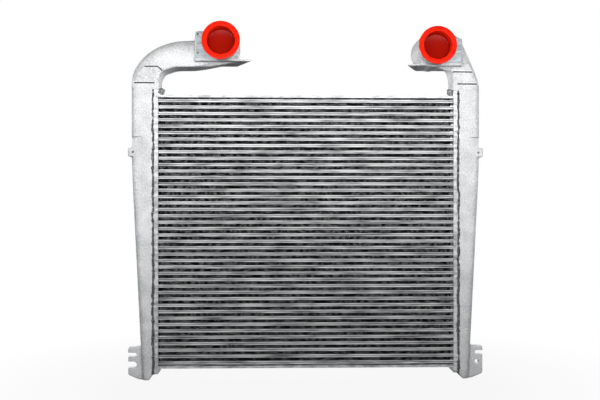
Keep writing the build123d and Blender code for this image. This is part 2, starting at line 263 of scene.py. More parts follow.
def smooth_table(knots: np.ndarray, values: np.ndarray, places: np.ndarray) -> np.ndarray:
    """Cubic curve through a table, with the slope at each knot taken from its two neighbours.

    Between two knots the value is the Hermite cubic of their values and slopes.

    Args:
        knots: (k,) rising places of the table's rows.
        values: (k, m) its rows.
        places: (n,) places to work out.

    Returns:
        Array of shape (n, m).
    """
    slope = np.gradient(values, knots, axis=0)
    low = np.clip(np.searchsorted(knots, places, side="right") - 1, 0, len(knots) - 2)
    span = (knots[low + 1] - knots[low])[:, None]
    t = (places - knots[low])[:, None] / span
    start, end = values[low], values[low + 1]
    first, last = slope[low] * span, slope[low + 1] * span
    square, cube = t**2, t**3
    return (
        (2 * cube - 3 * square + 1) * start
        + (cube - 2 * square + t) * first
        + (3 * square - 2 * cube) * end
        + (cube - square) * last
    )


def revolved(axis_x: float, axis_z: float, profile: list[tuple[float, float]], steps: int = 96) -> Shell:
    """Surface of revolution about a line along Y: rings whose radius and Y are a profile's (y, radius) points."""
    y, radius = np.array(profile, dtype=float).T
    angle = np.arange(steps) / steps * 2 * math.pi
    x = axis_x + radius[:, None] * np.cos(angle)[None]
    z = axis_z + radius[:, None] * np.sin(angle)[None]
    return rings_to_shell(stack_rings(x, y[:, None], z))


def slow_noise(rng: np.random.Generator, count: int, reach: int) -> np.ndarray:
    """Random numbers, each one the sum of its neighbours weighed by a raised cosine that spans a reach of them."""
    return np.convolve(rng.standard_normal(count), np.hanning(reach), "same")


# Finishes


def linear(code: str, alpha: float = 1.0) -> tuple[float, float, float, float]:
    """Turn an sRGB hex colour such as #B4B7BA into linear RGBA."""
    channels = [int(code[i : i + 2], 16) / 255 for i in (1, 3, 5)]
    flat = [c / 12.92 if c <= 0.04045 else ((c + 0.055) / 1.055) ** 2.4 for c in channels]
    return flat[0], flat[1], flat[2], alpha


def set_inputs(tree: bpy.types.NodeTree, node: bpy.types.Node, inputs: dict[str | int, object]) -> None:
    """Fill a node's sockets, by name or number. A socket of another node becomes a link, all else a value."""
    for key, value in inputs.items():
        if isinstance(value, bpy.types.NodeSocket):
            tree.links.new(value, node.inputs[key])
        else:
            node.inputs[key].default_value = value


def add_node(
    tree: bpy.types.NodeTree, kind: str, inputs: dict[str | int, object] | None = None, **settings: object
) -> bpy.types.Node:
    """Add a node to a tree.

    Args:
        tree: where it goes.
        kind: its Blender type name.
        inputs: what its sockets take, as in set_inputs.
        settings: properties of the node.

    Returns:
        The new node.
    """
    node = tree.nodes.new(kind)
    for name, value in settings.items():
        setattr(node, name, value)
    set_inputs(tree, node, inputs or {})
    return node


def set_ramp(node: bpy.types.Node, places: tuple[float, float], codes: tuple[str, str]) -> None:
    """Give the two stops of a colour ramp their places and colours."""
    for element, place, code in zip(node.color_ramp.elements, places, codes):
        element.position = place
        element.color = linear(code)


def new_material(name: str) -> tuple[bpy.types.Material, bpy.types.NodeTree, bpy.types.Node]:
    """Make an empty node material and return it with its tree and its shader."""
    material = bpy.data.materials.new(name)
    material.use_nodes = True
    tree = material.node_tree
    shader = next(node for node in tree.nodes if node.type == "BSDF_PRINCIPLED")
    return material, tree, shader


@dataclass(frozen=True)
class BlastedCasting:
    """Sand-cast aluminium alloy, shot-blasted: its peened skin scatters nearly all light, as matt paint does."""

    name: str = "blasted_cast_aluminium"
    bright: str = "#EFF0F1"
    dull: str = "#B0B2B4"
    contrast: tuple[float, float] = (0.48, 0.82)  # noise at which the skin is dull, and at which it is bright
    grain_mm: float = 3.2  # real grain is under 1 mm, drawn as coarse as the picture can hold
    cloud_mm: float = 45.0  # patches where the blasting dwelt longer
    cloud_share: float = 0.35
    relief: tuple[float, float] = (0.35, 0.5)  # strength of the bumps, and their height in mm
    roughness: float = 0.6
    metallic: float = 0.03
    specular: float = 0.0

    def build(self) -> bpy.types.Material:
        """Make the material."""
        material, tree, shader = new_material(self.name)
        place = add_node(tree, "ShaderNodeTexCoord").outputs["Object"]
        grain = add_node(
            tree,
            "ShaderNodeTexNoise",
            {"Vector": place, "Scale": 1 / (self.grain_mm * MM), "Detail": 3.0, "Roughness": 0.65},
        ).outputs["Fac"]
        cloud_inputs = {"Vector": place, "Scale": 1 / (self.cloud_mm * MM), "Detail": 2.0}
        cloud = add_node(tree, "ShaderNodeTexNoise", cloud_inputs).outputs["Fac"]
        mix = add_node(tree, "ShaderNodeMath", {0: cloud, 1: self.cloud_share, 2: grain}, operation="MULTIPLY_ADD")
        ramp = add_node(tree, "ShaderNodeValToRGB", {"Fac": mix.outputs[0]})
        set_ramp(ramp, self.contrast, (self.dull, self.bright))
        strength, rise = self.relief
        bump = add_node(tree, "ShaderNodeBump", {"Height": grain, "Strength": strength, "Distance": rise * MM})
        looks = {"Base Color": ramp.outputs["Color"], "Normal": bump.outputs["Normal"], "Metallic": self.metallic}
        set_inputs(tree, shader, {**looks, "Roughness": self.roughness, "Specular IOR Level": self.specular})
        return material


@dataclass(frozen=True)
class BrazedSheet:
    """Rolled aluminium sheet or tube after brazing: satin silver, with drawn lines and pale flux haze. The fins,
    their cut edges and the tubes' closing bars take it darkened, as painted shade.
    """

    name: str
    bright: str = "#D2D3D4"
    dull: str = "#585A5C"
    contrast: tuple[float, float] = (0.52, 0.9)  # where the haze starts and where it is full
    along: int = 0  # axis of the rolling lines
    line_mm: float = 0.9  # spacing of the rolling lines, across them
    run_mm: float = 60.0  # length over which a line fades
    line_share: float = 0.5
    haze_mm: tuple[float, float, float] = (26.0, 26.0, 8.0)  # short in height, so that rows differ
    relief: tuple[float, float] = (0.15, 0.1)  # strength of the lines' bumps, and their height in mm
    roughness: float = 0.4
    haze_rough: tuple[float, float] = (-0.08, 0.14)  # what thin and thick haze add to the roughness
    metallic: float = 0.2
    specular: float = 0.2

    def build(self) -> bpy.types.Material:
        """Make the material."""
        material, tree, shader = new_material(self.name)
        place = add_node(tree, "ShaderNodeTexCoord").outputs["Object"]
        line_sizes = [self.line_mm] * 3
        line_sizes[self.along] = self.run_mm
        noises = []
        for sizes, detail in ((line_sizes, 2.0), (self.haze_mm, 4.0)):
            stretch = {"Vector": place, "Scale": tuple(1 / (size * MM) for size in sizes)}
            spread = add_node(tree, "ShaderNodeMapping", stretch).outputs[0]
            noise = add_node(tree, "ShaderNodeTexNoise", {"Vector": spread, "Scale": 1.0, "Detail": detail})
            noises.append(noise.outputs["Fac"])
        lines, haze = noises
        mix = add_node(tree, "ShaderNodeMath", {0: lines, 1: self.line_share, 2: haze}, operation="MULTIPLY_ADD")
        ramp = add_node(tree, "ShaderNodeValToRGB", {"Fac": mix.outputs[0]})
        set_ramp(ramp, self.contrast, (self.dull, self.bright))
        thin, thick = (self.roughness + change for change in self.haze_rough)
        rough = add_node(tree, "ShaderNodeMapRange", {"Value": haze, "To Min": thin, "To Max": thick})
        strength, rise = self.relief
        bump = add_node(tree, "ShaderNodeBump", {"Height": lines, "Strength": strength, "Distance": rise * MM})
        looks = {"Base Color": ramp.outputs["Color"], "Roughness": rough.outputs[0], "Normal": bump.outputs["Normal"]}
        set_inputs(tree, shader, {**looks, "Metallic": self.metallic, "Specular IOR Level": self.specular})
        return material


@dataclass(frozen=True)
class WeldMetal:
    """Aluminium weld metal as laid: rippled and bright, with a dark tone in its hollows that is partly soot and oxide
    and partly painted shade.
    """

    name: str = "aluminium_weld_bead"
    bright: str = "#8B8D8F"
    soot_and_shade: str = "#1E1F20"
    contrast: tuple[float, float] = (0.5, 0.68)  # where the dark of soot and painted shade ends, and where the metal is bare
    patch_mm: float = 4.5
    relief: tuple[float, float] = (0.5, 0.6)  # strength of the bumps, and their height in mm
    roughness: float = 0.6
    metallic: float = 0.1

    def build(self) -> bpy.types.Material:
        """Make the material."""
        material, tree, shader = new_material(self.name)
        place = add_node(tree, "ShaderNodeTexCoord").outputs["Object"]
        patch_inputs = {"Vector": place, "Scale": 1 / (self.patch_mm * MM), "Detail": 3.0}
        patch = add_node(tree, "ShaderNodeTexNoise", patch_inputs).outputs["Fac"]
        ramp = add_node(tree, "ShaderNodeValToRGB", {"Fac": patch})
        set_ramp(ramp, self.contrast, (self.soot_and_shade, self.bright))
        strength, rise = self.relief
        bump = add_node(tree, "ShaderNodeBump", {"Height": patch, "Strength": strength, "Distance": rise * MM})
        looks = {"Base Color": ramp.outputs["Color"], "Normal": bump.outputs["Normal"]}
        set_inputs(tree, shader, {**looks, "Metallic": self.metallic, "Roughness": self.roughness})
        return material


@dataclass(frozen=True)
class MouldedPlug:
    """Injection-moulded polyethylene, red and a little translucent: glossy, with faint swirls from the gate, and
    painted shade deep in its cup.
    """

    name: str = "moulded_red_polyethylene"
    colour: str = "#E82410"
    deep: str = "#D01C0C"
    floor: str = "#8C0F04"  # painted shade: darker deep in the cup, where no light comes through from behind
    contrast: tuple[float, float] = (0.35, 0.6)  # noise at which the deep colour ends, and the bright one starts
    swirl_mm: float = 18.0
    relief: tuple[float, float] = (0.06, 1.0)  # strength of the swirls' bumps, and their height in mm
    roughness: float = 0.18
    refraction: float = 1.5
    rim_y: float = -68.0
    floor_y: float = -58.0
    specular: float = 0.02

    def build(self) -> bpy.types.Material:
        """Make the material."""
        material, tree, shader = new_material(self.name)
        place = add_node(tree, "ShaderNodeTexCoord").outputs["Object"]
        swirl = add_node(
            tree,
            "ShaderNodeTexNoise",
            {"Vector": place, "Scale": 1 / (self.swirl_mm * MM), "Detail": 2.0, "Distortion": 1.5},
        ).outputs["Fac"]
        ramp = add_node(tree, "ShaderNodeValToRGB", {"Fac": swirl})
        set_ramp(ramp, self.contrast, (self.deep, self.colour))
        strength, rise = self.relief
        bump = add_node(tree, "ShaderNodeBump", {"Height": swirl, "Strength": strength, "Distance": rise * MM})
        # painted shade: the colour darkens from the rim towards the cup's floor
        y = add_node(tree, "ShaderNodeSeparateXYZ", {0: place}).outputs["Y"]
        span = {"Value": y, "From Min": self.rim_y * MM, "From Max": self.floor_y * MM}
        depth = add_node(tree, "ShaderNodeMapRange", span).outputs[0]
        blend = {0: depth, 6: ramp.outputs["Color"], 7: linear(self.floor)}
        colour = add_node(tree, "ShaderNodeMix", blend, data_type="RGBA")
        looks = {"Base Color": colour.outputs[2], "Normal": bump.outputs["Normal"], "Roughness": self.roughness}
        set_inputs(tree, shader, {**looks, "IOR": self.refraction, "Specular IOR Level": self.specular})
        return material


# Pieces


def add_object(name: str, data: bpy.types.ID) -> bpy.types.Object:
    """Put a new object with this data in the scene."""
    thing = bpy.data.objects.new(name, data)
    bpy.context.scene.collection.objects.link(thing)
    return thing


def finish_piece(mesh: bpy.types.Mesh, materials: list[bpy.types.Material], slot: str, *replaced: str) -> None:
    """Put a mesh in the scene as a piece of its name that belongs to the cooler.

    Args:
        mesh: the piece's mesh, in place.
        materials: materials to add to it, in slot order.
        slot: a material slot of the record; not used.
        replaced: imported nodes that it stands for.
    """
    for material in materials:
        mesh.materials.append(material)
    mesh.shade_smooth()
    mesh.set_sharp_from_angle(angle=math.radians(SHARP_ANGLE))
    piece = add_object(mesh.name, mesh)
    if replaced:
        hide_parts(*replaced)
    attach(piece, "root")
    LOG.info("%s: %d faces", mesh.name, len(mesh.polygons))


@dataclass
class FinnedCore:
    """Flat tubes, each with the folded fin that is brazed on top of it."""

    tube_material: bpy.types.Material
    fin_shade_material: bpy.types.Material
    edge_shade_material: bpy.types.Material
    bar_shade_material: bpy.types.Material
    half_width: float = 424.0
    tube_reach: float = 429.5
    tube_depth: float = 62.0
    tube_height: float = 8.0
    edge_ease: float = 0.6  # chamfer along a tube's outer edges
    bar_half: float = 2.1  # half height of the bar between a tube's two sheets
    bar_recess: float = 1.2  # how far the sheets' edges stand proud of the bar
    bar_lip: float = 0.3  # how much thinner a sheet is at its edge than at the bar
    fin_height: float = 10.3
    end_fin_height: float = 5.5
    fin_end_gap: float = 4.0
    folds: int = 146
    fold_flat: float = 1.1  # length over which a fold lies on its tube
    sheet: float = 0.6  # real sheet is 0.1 mm, drawn as thick as its bright edge needs to show
    sway: float = 5.0  # how far the fins wave sideways on the way through, so that no one sees through them
    sway_rows: int = 5
    unevenness: float = 0.35  # how far folds stray from an even pitch
    stray_reach: int = 9  # folds that stray together
    seed: int = 3

    def tube(self, height: float) -> Shell:
        """A flat tube along X: two sheets whose edges stand a little proud of the bar that closes them.

        The section runs from the middle of the back over the top to the middle of the front, and its lower
        half mirrors the upper one.
        """
        deep, high, ease = self.tube_depth / 2, self.tube_height / 2, self.edge_ease
        floor, lip = deep - self.bar_recess, self.bar_half + self.bar_lip
        back = np.array([(floor, self.bar_half), (deep, lip), (deep, high - ease), (deep - ease, high)])
        upper = np.concatenate([back, (back * [-1, 1])[::-1]])
        section = np.concatenate([upper, (upper * [1, -1])[::-1]])
        x = np.array([[-self.tube_reach], [self.tube_reach]])
        shell = rings_to_shell(stack_rings(x, CORE_Y + section[:, 0], height + section[:, 1]))
        sides, ends = shell.faces
        bars = [len(upper) - 1, len(section) - 1]
        # the closing bars take slot 3, drawn darker as painted shade in their recess
        return Shell(shell.points, [np.delete(sides, bars, axis=0), ends, sides[bars]], (0, 0, 3))

    def fin(self, foot: float, height: float, rng: np.random.Generator) -> Shell:
        """Folded sheet that waves on its way through the core.

        The middle line zigzags in X and Z with a short flat at each fold. Its two faces lie half a sheet to
        each side along the line's normal, and each row further back is the same line shifted sideways by a
        cosine of the depth.

        Args:
            foot: height of the sheet's lower side.
            height: height of the folds.
            rng: source of the folds' stray.
        """
        pitch = 2 * (self.half_width - self.fin_end_gap) / self.folds
        start = -self.half_width + self.fin_end_gap
        stray = slow_noise(rng, self.folds, self.stray_reach) * self.unevenness / 2
        stray[[0, -1]] = 0
        step = (np.arange(self.folds) * pitch + np.clip(stray, -1, 1))[:, None]
        flat, half = self.fold_flat, self.sheet / 2
        x = (start + step + np.array([0, flat, pitch / 2, pitch / 2 + flat])[None]).ravel()
        z = np.tile([half, half, height - half, height - half], self.folds)
        normal = np.stack([-np.gradient(z), np.gradient(x)], axis=-1)
        normal /= np.linalg.norm(normal, axis=1, keepdims=True)
        middle = np.stack([x, z], axis=-1)
        outline = np.concatenate([middle + half * normal, (middle - half * normal)[::-1]])
        outline[:, 1] = np.clip(outline[:, 1], 0, height)
        y = np.linspace(-self.tube_depth / 2, self.tube_depth / 2, self.sway_rows)
        shift = self.sway / 2 * np.cos(4 * math.pi * (y / self.tube_depth + 0.5)) - self.sway / 2
        rings = stack_rings(outline[:, 0] + shift[:, None], CORE_Y + y[:, None], foot + outline[:, 1])
        # the sheet takes slot 1 and its cut ends slot 2, both drawn dark as painted shade
        return rings_to_shell(rings, (1, 2))

    def build(self) -> None:
        """Make one piece for each tube and the fin above it."""
        materials = [self.tube_material, self.fin_shade_material, self.edge_shade_material, self.bar_shade_material]
        rng = np.random.default_rng(self.seed)
        for number in range(1, TUBE_COUNT + 1):
            height = FIRST_TUBE + (number - 1) * TUBE_PITCH
            fin_height = self.end_fin_height if number == TUBE_COUNT else self.fin_height
            shells = [self.tube(height), self.fin(height + self.tube_height / 2, fin_height, rng)]
            mesh = make_mesh(f"finned_tube_{number:02d}", shells)
            finish_piece(mesh, materials, "core_aluminium", f"tube_{number:02d}")


@dataclass(frozen=True)
class Station:
    """One section of an elbow: its middle, its lean in degrees towards the core, its size and its corners' radius."""

    out: float
    height: float
    lean: float
    width: float
    depth: float
    corner: float


@dataclass(frozen=True)
class WebRow:
    """One section of the slope under a pad: distance out, height and Y of its foot and of its top."""

    foot: tuple[float, float, float]
    top: tuple[float, float, float]


@dataclass
class EndTank:
    """A cast end tank with its elbow, hose neck, bolting pad, shelf, boss and foot lug."""

    side: Side
    finishes: tuple[bpy.types.Material, ...]  # of the cast skin, of milled faces and the painted shade of the parting lines
    neck: tuple[float, float]  # distance out and height of the neck's axis
    body_radius: float
    pad: tuple[float, float]  # its outer and inner edge, from the neck's axis
    shelf: tuple[float, float]  # its tip and its inner edge at the back, from the neck's axis
    elbow: list[Station]
    slots: list[tuple[float, float, float]]  # height, width and depth of each slot in the lug
    lug_hole: float | None  # height of the round hole in the lug
    pad_holes: list[float]  # heights from the neck's axis
    ribs: list[float]  # heights from the neck's axis
    web: list[WebRow]
    split_lines: list[tuple[float, list[tuple[float, float]]]]  # the groove's bottom and the points of its line
    groove: float = 3.4
    groove_start: float = 58.0  # how far in front of the core's middle the groove's cutter starts
    voxel: float = 2.1
    depth: float = 70.0
    inner: float = 437.0
    outer: float = 501.0
    foot_outer: float = 470.5
    foot_inner: float = 450.5
    foot_height: float = 18.0
    taper_top: float = 615.0
    taper_radius: float = 2400.0
    corner: float = 17.0
    seam_corner: float = 1.5  # the edges beside the weld are nearly sharp
    inner_corner: float = 5.0  # the elbow's inner edges are nearly sharp too
    hood_inner: float = 421.0
    hood_overlap: float = 4.0
    header_top: float = 830.3
    elbow_start: float = 846.8
    elbow_overlap: float = 12.0  # how far the elbow reaches down into the tank
    neck_reach: float = 126.0
    neck_radius: float = 45.0
    bead: tuple[float, float, float] = (9.0, 3.0, 2.5)  # its place behind the mouth, half width and height
    bore_radius: float = 40.5
    bore_depth: float = 100.0
    body_back: float = 46.0
    dome: float = 12.0  # radius of the round body's back edge
    pad_face: float = 62.0
    pad_thickness: float = 20.0
    pad_rise: float = 32.0
    rib_inset: float = 18.0  # a rib's middle, from the pad's outer edge
    rib_half: tuple[float, float] = (8.0, 1.1)  # half its length and half its height
    rib_stand: float = 1.6
    web_back: tuple[tuple[int, int, int], ...] = ((0, 4, 6), (0, 10, 13))  # from a row's top and foot to its back
    shelf_drop: float = 42.0
    shelf_thickness: float = 5.0
    mill_reach: float = 0.8  # how far off the pad's plane a face still counts as milled
    mill_facing: float = -0.97  # the Y of its normal has to be below this
    lug_reach: float = 511.0
    lug_faces: tuple[float, float] = (22.0, 2.0)  # in front of the core's middle
    boss_reach: float = 9.0  # how far the boss stands out from the tank's side
    boss_size: tuple[float, float] = (30.0, 24.0)  # across and from front to back
    boss_levels: tuple[float, float] = (638.5, 665.0)
    flat_top: float = 696.0  # upper end of the flat that is milled above the boss
    run_up: float = 5.0  # how far a cutter starts outside the metal
    thread_depth: float = 16.0
    pad_hole: tuple[float, float] = (9.3, 4.25)  # from the pad's outer edge, and its radius
    shelf_hole: tuple[float, float] = (16.0, 5.5)  # from the shelf's tip and front, and its radius
    boss_hole: tuple[float, float] = (14.5, 3.25)  # from the boss's outer side, and its radius
    lug_bore: tuple[float, float] = (16.5, 6.5)  # from the lug's outer side, and its radius

    def place(self, out: float | np.ndarray) -> float | np.ndarray:
        """X of a distance out."""
        return self.side.value * out

    def outline(self, corners: list[tuple[float, float, float]], steps: int = 8) -> np.ndarray:
        """Rounded outline from corners whose first number is a distance out."""
        return rounded_outline([(self.place(out), level, radius) for out, level, radius in corners], steps)

    def outer_edge(self, height: np.ndarray) -> np.ndarray:
        """Distance out of the tank's outer side: a slope, an arc that touches it and the upright, then upright."""
        slope = (self.outer - self.foot_outer) / self.taper_top
        angle = math.atan(slope)
        reach = self.taper_radius * math.tan(angle / 2)
        low, high = self.taper_top - reach * math.cos(angle), self.taper_top + reach
        under = np.clip(high - height, 0, high - low)
        arc = self.outer - self.taper_radius + np.sqrt(self.taper_radius**2 - under**2)
        return np.where(height < low, self.foot_outer + slope * height, np.where(height > high, self.outer, arc))

    def body(self) -> Shell:
        """Tank below the elbow: sections stacked upwards, between the inner side and the tapering outer side."""
        foot, trunk = np.linspace(0, self.foot_height, 4), np.linspace(self.foot_height, self.elbow_start, 70)
        height = np.unique(np.concatenate([foot, trunk]))
        outer = self.outer_edge(height)
        slope = (self.foot_inner - self.inner) / self.foot_height
        inner = self.inner + slope * np.clip(self.foot_height - height, 0, None)
        radii = np.array([self.corner, self.seam_corner, self.seam_corner, self.corner])[None].repeat(len(height), 0)
        section = rounded_sections((outer - inner) / 2, np.full(len(height), self.depth / 2), radii, 7)
        x = self.place((outer + inner)[:, None] / 2 + section[..., 0])
        return rings_to_shell(stack_rings(x, CORE_Y + section[..., 1], height[:, None]))

    def duct(self) -> Shell:
        """Elbow: rounded sections carried along a smooth curve through the stations.

        Each point is the station's middle, plus its first axis, which leans towards the core, times the
        section's first coordinate, plus Y times its second.
        """
        table = np.array([[s.out, s.height, math.radians(s.lean), s.width, s.depth, s.corner] for s in self.elbow])
        below = table[0].copy()
        below[1] -= self.elbow_overlap
        knots = np.concatenate([[0], np.cumsum(np.linalg.norm(np.diff(table[:, :2], axis=0), axis=1))])
        path = smooth_table(knots, table, np.linspace(0, knots[-1], 90))
        out, height, lean, width, depth, corner = np.concatenate([below[None], path]).T
        sharp = np.minimum(corner, self.inner_corner)
        section = rounded_sections(width / 2, depth / 2, np.stack([corner, sharp, sharp, corner], 1), 10)
        x = self.place(out[:, None] + np.cos(lean)[:, None] * section[..., 0])
        z = height[:, None] + np.sin(lean)[:, None] * section[..., 0]
        return rings_to_shell(stack_rings(x, CORE_Y + section[..., 1], z))

    def hose_neck(self) -> Shell:
        """Round body with a domed back, and the neck with the bead that keeps its hose on."""
        angle = np.linspace(0, math.pi / 2, 8)
        back = self.body_back - self.dome + self.dome * np.cos(angle)
        rim = self.body_radius - self.dome + self.dome * np.sin(angle)
        behind, half, rise = self.bead
        turn = np.linspace(0, math.pi, 9)
        bead_y = -self.neck_reach + behind + half * np.cos(turn)
        profile = [(CORE_Y + y, r) for y, r in zip(back, rim)]
        profile += [(CORE_Y - self.pad_face, self.body_radius), (CORE_Y - self.pad_face, self.neck_radius)]
        profile += [(CORE_Y + y, self.neck_radius + r) for y, r in zip(bead_y, rise * np.sin(turn))]
        profile += [(CORE_Y - self.neck_reach, self.neck_radius)]
        return revolved(self.place(self.neck[0]), self.neck[1], profile)

    def flanges(self) -> list[Shell]:
        """Bolting pad with its ribs, bracket shelf, and the slope that leads from the elbow to the pad."""
        out, height = self.neck
        pad_out, pad_in = out + self.pad[0], out - self.pad[1]
        tip, root = out - self.shelf[0], out - self.shelf[1]
        shelf_top, face, back = height - self.shelf_drop, CORE_Y - self.pad_face, CORE_Y + self.body_back
        pad = [
            (pad_in, shelf_top, 2),
            (pad_out, shelf_top, 2),
            (pad_out, height + self.pad_rise, 9),
            (out + self.body_radius * 0.6, height + self.body_radius * 0.8, 2),  # on the round body's circle
            (pad_in, height, 2),
        ]
        shelf = [(pad_out, face, 2), (tip, face, 5), (tip, face + 9, 3), (root, back, 6), (pad_out, back, 6)]
        shells = [
            prism(self.outline(pad), 1, face, face + self.pad_thickness),
            prism(self.outline(shelf), 2, shelf_top - self.shelf_thickness, shelf_top),
        ]
        foot = np.array([row.foot for row in self.web])
        top = np.array([row.top for row in self.web])
        over, under = self.web_back
        rings = np.stack([foot, top, top + over, foot + under], axis=1)[..., [0, 2, 1]]
        rings[..., 0] = self.place(rings[..., 0])
        shells.append(rings_to_shell(rings))
        long, high = self.rib_half
        for rise in self.ribs:
            middle, level = self.place(pad_out - self.rib_inset), height + rise
            box = [(middle - long, level - high), (middle + long, level - high)]
            box += [(middle + long, level + high), (middle - long, level + high)]
            shells.append(prism(np.array(box), 1, face - self.rib_stand, face + 1))
        return shells

    def lug(self) -> Shell:
        """Foot lug, without its slots."""
        heel = self.foot_outer - 10
        corners = [(heel, 0, 0), (self.foot_outer + 8, 0, 36)]
        corners += [(self.lug_reach, 14, 5), (self.lug_reach, 93, 5), (heel, 96, 0)]
        front, back = self.lug_faces
        return prism(self.outline(corners, 12), 1, CORE_Y - front, CORE_Y - back)

    def boss(self) -> Shell:
        """Block on the outer front corner, without its hole."""
        (low, high), (across, deep) = self.boss_levels, self.boss_size
        reach, front = self.outer + self.boss_reach, CORE_Y - self.depth / 2
        corners = [(reach - across, low, 2), (reach, low, 4), (reach, high, 4), (reach - across, high, 2)]
        return prism(self.outline(corners), 1, front, front + deep)

    def hood(self) -> Shell:
        """Block over the upper end of the header pan."""
        reach, top = self.inner + self.hood_overlap, self.elbow_start + self.hood_overlap
        corners = [(self.hood_inner, self.header_top), (reach, self.header_top), (reach, top), (self.hood_inner, top)]
        outline = np.array([(self.place(x), z) for x, z in corners])
        return prism(outline, 1, CORE_Y - self.depth / 2, CORE_Y + self.depth / 2)

    def drill(self, out: float, level: float, radius: float, near: float, far: float, steps: int = 48) -> Shell:
        """Round cutter along Y, at a distance out and a height."""
        return prism(circle((self.place(out), level), radius, steps), 1, near, far)

    def slot_cutter(self, middle: float, width: float, reach: float, near: float, far: float) -> Shell:
        """Cutter along Y for a slot that is open outwards and ends in a half circle.

        Args:
            middle: height of its middle.
            width: its width.
            reach: its depth from the lug's outer side.
            near: where it starts along Y.
            far: where it ends.
        """
        inner = self.place(self.lug_reach - reach + width / 2)
        end = circle((inner, middle), width / 2, 32)
        end = end[(end[:, 0] - inner) * self.side.value <= 1e-6]
        end = end[np.argsort(end[:, 1])]
        edge = self.place(self.lug_reach + 14)
        return prism(np.concatenate([end, [[edge, middle + width / 2], [edge, middle - width / 2]]]), 1, near, far)

    def groove_cutter(self, bottom: float, line: list[tuple[float, float]]) -> Shell:
        """Cutter along Y that follows a parting line and gives its groove the third slot, a dark painted shade."""
        points = np.array(line, dtype=float)
        along = np.gradient(points, axis=0)
        normal = np.stack([along[:, 1], -along[:, 0]], axis=-1)
        normal *= self.groove / 2 / np.linalg.norm(normal, axis=1, keepdims=True)
        band = np.concatenate([points + normal, (points - normal)[::-1]])
        band[:, 0] *= self.side.value
        tool = prism(band, 1, CORE_Y - self.groove_start, CORE_Y - bottom)
        # the groove's faces take slot 2, a dark painted shade along the parting line
        tool.slots = (2,) * len(tool.faces)
        return tool

    def cutters(self) -> list[Shell]:
        """What is bored and milled after casting, and the grooves of the parting lines."""
        (out, height), run_up, blind = self.neck, self.run_up, self.thread_depth
        face, front, mouth = CORE_Y - self.pad_face, CORE_Y - self.depth / 2, CORE_Y - self.neck_reach
        tools = [self.drill(out, height, self.bore_radius, mouth - run_up, mouth + self.bore_depth, 96)]
        inset, radius = self.pad_hole
        for rise in self.pad_holes:
            tools.append(self.drill(out + self.pad[0] - inset, height + rise, radius, face - run_up, face + blind))
        inset, radius = self.shelf_hole
        centre, level = (self.place(out - self.shelf[0] + inset), face + inset), height - self.shelf_drop
        tools.append(prism(circle(centre, radius), 2, level - self.shelf_thickness - run_up, level + run_up))
        inset, radius = self.boss_hole
        low, high = self.boss_levels
        reach = self.outer + self.boss_reach - inset
        tools.append(self.drill(reach, (low + high) / 2, radius, front - run_up, front + blind))
        through = (CORE_Y - self.lug_faces[0] - 8, CORE_Y + run_up)
        tools += [self.slot_cutter(*slot, *through) for slot in self.slots]
        if self.lug_hole is not None:
            inset, radius = self.lug_bore
            tools.append(self.drill(self.lug_reach - inset, self.lug_hole, radius, *through))
        flat = [(466, front - 0.5), (515, front - 9), (515, front + 27), (501, front + 15)]
        tools.append(prism(np.array([(self.place(x), y) for x, y in flat]), 2, high, self.flat_top))
        return tools + [self.groove_cutter(bottom, line) for bottom, line in self.split_lines]

    def mark_milled(self, mesh: bpy.types.Mesh) -> None:
        """Give the second material slot to the faces that lie on the pad's plane, above the shelf."""
        slots = np.empty(len(mesh.polygons), dtype=np.int32)
        mesh.polygons.foreach_get("material_index", slots)
        centre = np.empty(len(mesh.polygons) * 3, dtype=np.float32)
        normal = np.empty_like(centre)
        mesh.polygons.foreach_get("center", centre)
        mesh.polygons.foreach_get("normal", normal)
        centre, normal = centre.reshape(-1, 3) / MM, normal.reshape(-1, 3)
        level = np.abs(centre[:, 1] - (CORE_Y - self.pad_face)) < self.mill_reach
        above = centre[:, 2] > self.neck[1] - self.shelf_drop + 1
        slots[level & above & (normal[:, 1] < self.mill_facing)] = 1
        mesh.polygons.foreach_set("material_index", slots)

    def build(self) -> None:
        """Fuse the shells into one skin, soften it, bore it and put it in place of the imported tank."""
        shells = [self.body(), self.duct(), self.hood(), self.hose_neck(), self.lug(), self.boss(), *self.flanges()]
        work = add_object("work", make_mesh("work", shells))
        cutter = add_object("cutter", make_mesh("cutter", self.cutters()))
        for helper in (work, cutter):
            for material in self.finishes:
                helper.data.materials.append(material)
        steps = {
            "REMESH": {"mode": "VOXEL", "voxel_size": self.voxel * MM},
            "SMOOTH": {"factor": 0.5, "iterations": 5},
            "DECIMATE": {"ratio": 0.5},
            "BOOLEAN": {"operation": "DIFFERENCE", "solver": "EXACT", "object": cutter},
        }
        for kind, settings in steps.items():
            modifier = work.modifiers.new(kind, kind)
            for name, value in settings.items():
                setattr(modifier, name, value)
        mesh = bpy.data.meshes.new_from_object(work.evaluated_get(bpy.context.evaluated_depsgraph_get()))
        mesh.name = f"{self.side.title}_tank_casting"
        for helper in (work, cutter):
            bpy.data.objects.remove(helper)
        self.mark_milled(mesh)
        finish_piece(mesh, [], "cast_aluminium", f"{self.side.title}_end_tank")


